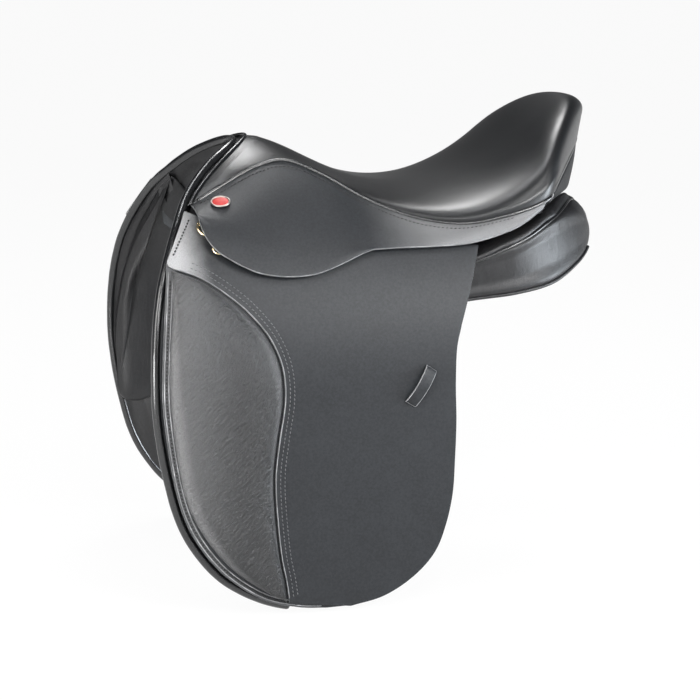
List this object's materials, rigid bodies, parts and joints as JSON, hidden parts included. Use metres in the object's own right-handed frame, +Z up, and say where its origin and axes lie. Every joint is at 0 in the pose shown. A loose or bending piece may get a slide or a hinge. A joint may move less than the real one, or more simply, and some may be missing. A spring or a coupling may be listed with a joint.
{
  "type": "dressage saddle",
  "caption": "Black leather dressage saddle with lifting flaps and skirts, padded knee blocks, stirrup bars with catches, dees and girth straps.",
  "frame": {"origin": "middle of the bearing plane on the horse's back, between the panels", "axes": "+Z up, -X forward towards the pommel, -Y towards the near side"},
  "size_m": [0.4971, 0.3954, 0.4932],
  "materials": {
    "bridle_leather": "smooth, matt, black",
    "seat_leather": "soft, satin, black",
    "grain_leather": "fine grain, satin, black",
    "panel_leather": "soft, creased, black",
    "beech_wood": "lacquered laminate",
    "canvas": "woven webbing",
    "foam": "soft open-cell foam",
    "steel": "satin",
    "brass": "polished, pale",
    "bright_rim": "polished",
    "red_enamel": "gloss enamel"
  },
  "bodies": {
    "saddle": {"tree": "beech_wood", "seat_webbing": "canvas", "seat_foam": "foam", "seat_cover": "seat_leather", "pommel_welt": "seat_leather", "seat_welt_near": "seat_leather", "seat_welt_off": "seat_leather", "pommel_facing": "seat_leather", "cantle_facing": "seat_leather", "gullet_plate": "steel", "gullet_rivets": "steel", "tree_point_near": "steel", "tree_point_off": "steel", "stirrup_bar_near": "steel", "stirrup_bar_off": "steel", "bar_rivets": "steel", "catch_pin_near": "steel", "catch_pin_off": "steel", "skirt_near": "bridle_leather", "skirt_off": "bridle_leather", "flap_yoke_near": "bridle_leather", "flap_yoke_off": "bridle_leather", "sweat_flap_near": "bridle_leather", "sweat_flap_off": "bridle_leather", "front_roll": "grain_leather", "panel_near": "panel_leather", "panel_off": "panel_leather", "panel_welt_near": "bridle_leather", "panel_welt_off": "bridle_leather", "gullet_lining": "panel_leather", "badge_rim": "bright_rim", "badge_enamel": "red_enamel", "dee_chapes_near": "bridle_leather", "dee_chapes_off": "bridle_leather", "girth_web_near": "canvas", "girth_web_off": "canvas", "girth_studs": "steel"},
    "skirt_lobe_near": {"skirt_lobe_near": "bridle_leather"},
    "flap_near": {"flap_near": "bridle_leather", "flap_facing_near": "bridle_leather", "knee_pad_near": "grain_leather", "keeper_near": "bridle_leather"},
    "catch_near": {"bar_catch_near": "steel"},
    "dee_upper_near": {"dee_upper_near": "brass"},
    "dee_lower_near": {"dee_lower_near": "brass"},
    "strap_front_near": {"strap_front_near": "bridle_leather"},
    "strap_rear_near": {"strap_rear_near": "bridle_leather"},
    "skirt_lobe_off": {"skirt_lobe_off": "bridle_leather"},
    "flap_off": {"flap_off": "bridle_leather", "flap_facing_off": "bridle_leather", "knee_pad_off": "grain_leather", "keeper_off": "bridle_leather"},
    "catch_off": {"bar_catch_off": "steel"},
    "dee_upper_off": {"dee_upper_off": "brass"},
    "dee_lower_off": {"dee_lower_off": "brass"},
    "strap_front_off": {"strap_front_off": "bridle_leather"},
    "strap_rear_off": {"strap_rear_off": "bridle_leather"}
  },
  "joints": [
    {"name": "skirt_lift_near", "type": "hinge", "parent": "saddle", "child": "skirt_lobe_near", "pos_m": [-0.127, -0.14938, 0.06951], "axis": [-0.9753, 0.1347, 0.1751], "range_deg": [0, 80]},
    {"name": "skirt_lift_off", "type": "hinge", "parent": "saddle", "child": "skirt_lobe_off", "pos_m": [-0.127, 0.14938, 0.06951], "axis": [0.9753, 0.1347, -0.1751], "range_deg": [0, 80]},
    {"name": "flap_lift_near", "type": "hinge", "parent": "saddle", "child": "flap_near", "pos_m": [-0.102, -0.16977, 0.01469], "axis": [-0.9663, 0.1006, 0.2371], "range_deg": [0, 75]},
    {"name": "flap_lift_off", "type": "hinge", "parent": "saddle", "child": "flap_off", "pos_m": [-0.102, 0.16977, 0.01469], "axis": [0.9663, 0.1006, -0.2371], "range_deg": [0, 75]},
    {"name": "catch_close_near", "type": "hinge", "parent": "saddle", "child": "catch_near", "pos_m": [-0.09, -0.13921, 0.05758], "axis": [0, -0.5967, -0.8025], "range_deg": [0, 75]},
    {"name": "catch_close_off", "type": "hinge", "parent": "saddle", "child": "catch_off", "pos_m": [-0.09, 0.13921, 0.05758], "axis": [0, -0.5967, 0.8025], "range_deg": [0, 75]},
    {"name": "dee_upper_lift_near", "type": "hinge", "parent": "saddle", "child": "dee_upper_near", "pos_m": [-0.204, -0.13434, 0.0777], "axis": [-0.4226, 0.6042, 0.6755], "range_deg": [0, 20]},
    {"name": "dee_upper_lift_off", "type": "hinge", "parent": "saddle", "child": "dee_upper_off", "pos_m": [-0.204, 0.13434, 0.0777], "axis": [0.4226, 0.6042, -0.6755], "range_deg": [0, 20]},
    {"name": "dee_lower_lift_near", "type": "hinge", "parent": "saddle", "child": "dee_lower_near", "pos_m": [-0.195, -0.14917, 0.0591], "axis": [-0.7771, 0.3644, 0.5131], "range_deg": [0, 24]},
    {"name": "dee_lower_lift_off", "type": "hinge", "parent": "saddle", "child": "dee_lower_off", "pos_m": [-0.195, 0.14917, 0.0591], "axis": [0.7771, 0.3644, -0.5131], "range_deg": [0, 24]},
    {"name": "strap_front_swing_near", "type": "hinge", "parent": "saddle", "child": "strap_front_near", "pos_m": [-0.064, -0.13235, 0.0589], "axis": [0, 1, 0], "range_deg": [-5, 5]},
    {"name": "strap_front_swing_off", "type": "hinge", "parent": "saddle", "child": "strap_front_off", "pos_m": [-0.064, 0.13235, 0.0589], "axis": [0, 1, 0], "range_deg": [-5, 5]},
    {"name": "strap_rear_swing_near", "type": "hinge", "parent": "saddle", "child": "strap_rear_near", "pos_m": [-0.01, -0.13235, 0.0589], "axis": [0, 1, 0], "range_deg": [-5, 5]},
    {"name": "strap_rear_swing_off", "type": "hinge", "parent": "saddle", "child": "strap_rear_off", "pos_m": [-0.01, 0.13235, 0.0589], "axis": [0, 1, 0], "range_deg": [-5, 5]}
  ]
}
